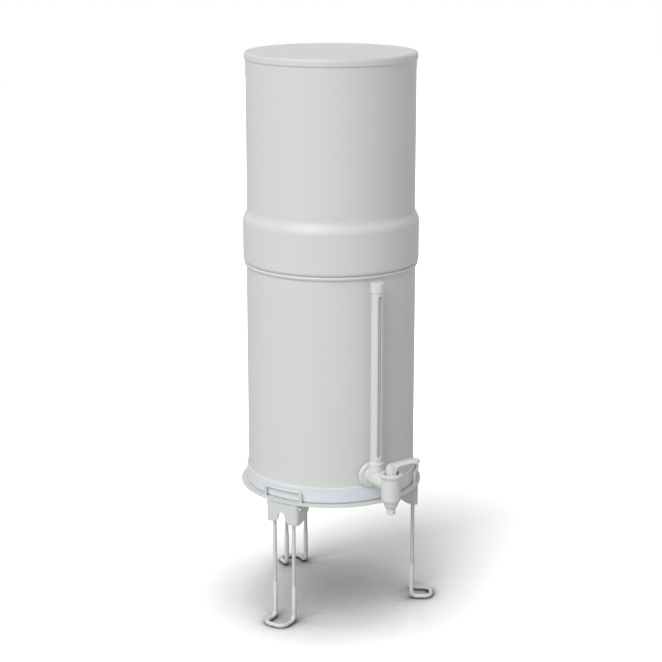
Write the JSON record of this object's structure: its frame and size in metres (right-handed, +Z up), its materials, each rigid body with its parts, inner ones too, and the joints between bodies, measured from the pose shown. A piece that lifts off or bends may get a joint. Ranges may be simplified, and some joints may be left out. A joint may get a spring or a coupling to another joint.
{
  "type": "gravity water filter with tap",
  "caption": "Tall two-chamber gravity water filter with lid, on a folding wire stand, with a lever tap and a sight gauge.",
  "frame": {"origin": "on the floor, under the middle of the whole object", "axes": "+Z up; the tap points to -Y"},
  "size_m": [0.2526, 0.3314, 0.7417],
  "materials": {
    "powder_coat": "satin off-white powder coat",
    "pale_silicone": "soft matte silicone",
    "tap_plastic": "moulded, satin",
    "clear_tube": "clear",
    "dark_float": "matte",
    "grey_seal": "matte",
    "stainless": "plain",
    "filter_ceramic": "unglazed, matte",
    "white_plastic": "moulded"
  },
  "bodies": {
    "stand": {"stand_ring": "powder_coat", "guard_hoops": "powder_coat", "bracket_front_left": "powder_coat", "bracket_front_right": "powder_coat", "bracket_rear": "powder_coat"},
    "front_left_leg": {"leg_front_left": "powder_coat", "foot_sleeve_front_left": "pale_silicone"},
    "front_right_leg": {"leg_front_right": "powder_coat", "foot_sleeve_front_right": "pale_silicone"},
    "rear_leg": {"leg_rear": "powder_coat", "foot_sleeve_rear": "pale_silicone"},
    "lower": {"lower_chamber": "powder_coat", "base_boot": "pale_silicone", "wall_flange": "tap_plastic", "tap_outer_gasket": "grey_seal", "tap_inner_gasket": "grey_seal", "tap_back_nut": "tap_plastic", "gauge_tee": "tap_plastic", "gauge_seal": "grey_seal", "gauge_nut": "tap_plastic", "gauge_housing": "tap_plastic", "sight_tube": "clear_tube", "cap_seal": "grey_seal", "gauge_cap": "tap_plastic", "tap_body": "tap_plastic", "spout": "tap_plastic", "bonnet_seal": "grey_seal"},
    "float": {"gauge_float": "dark_float"},
    "tap_head": {"bonnet": "tap_plastic", "lever_pivot_pin": "stainless", "tap_spring": "stainless"},
    "lever": {"tap_lever": "tap_plastic"},
    "valve": {"tap_stem": "stainless", "link_pin": "stainless", "seat_cup": "grey_seal"},
    "upper": {"upper_chamber": "powder_coat", "ceramic_candles": "filter_ceramic", "candle_bases": "white_plastic", "candle_washers": "grey_seal", "candle_wing_nuts": "white_plastic", "blanking_plug": "white_plastic", "plug_washer": "grey_seal", "plug_nut": "white_plastic"},
    "cover": {"lid": "powder_coat"}
  },
  "joints": [
    {"name": "fold_front_left", "type": "hinge", "parent": "stand", "child": "front_left_leg", "pos_m": [-0.09643, -0.0309, 0.1606], "axis": [0.5, -0.866, 0], "range_deg": [0, 88]},
    {"name": "fold_front_right", "type": "hinge", "parent": "stand", "child": "front_right_leg", "pos_m": [0.09643, -0.0309, 0.1606], "axis": [0.5, 0.866, 0], "range_deg": [0, 80]},
    {"name": "fold_rear", "type": "hinge", "parent": "stand", "child": "rear_leg", "pos_m": [0, 0.13612, 0.1606], "axis": [-1, 0, 0], "range_deg": [0, 66]},
    {"name": "lower_lift", "type": "slide", "parent": "stand", "child": "lower", "axis": [0, 0, 1], "range_m": [0, 0.05]},
    {"name": "upper_lift", "type": "slide", "parent": "lower", "child": "upper", "axis": [0, 0, 1], "range_m": [0, 0.08]},
    {"name": "lid_lift", "type": "slide", "parent": "upper", "child": "cover", "axis": [0, 0, 1], "range_m": [0, 0.05]},
    {"name": "float_rise", "type": "slide", "parent": "lower", "child": "float", "axis": [0, 0, 1], "range_m": [-0.075, 0.125]},
    {"name": "bonnet_turn", "type": "hinge", "parent": "lower", "child": "tap_head", "pos_m": [0, -0.14522, 0.2174], "axis": [0, 0, 1], "range_deg": [-120, 0]},
    {"name": "lever_press", "type": "hinge", "parent": "tap_head", "child": "lever", "pos_m": [0.00398, -0.14752, 0.2225], "axis": [0.5, 0.866, 0], "range_deg": [0, 25], "stiffness_Nm_per_rad": 0.04, "springref_deg": -25.78},
    {"name": "stem_lift", "type": "slide", "parent": "tap_head", "child": "valve", "axis": [0, 0, 1], "range_m": [0, 0.00201], "deforming": ["tap_spring"]}
  ],
  "couplings": [
    {"joint": "lever_press", "follows": "stem_lift", "rad_per_m": 217.39}
  ]
}
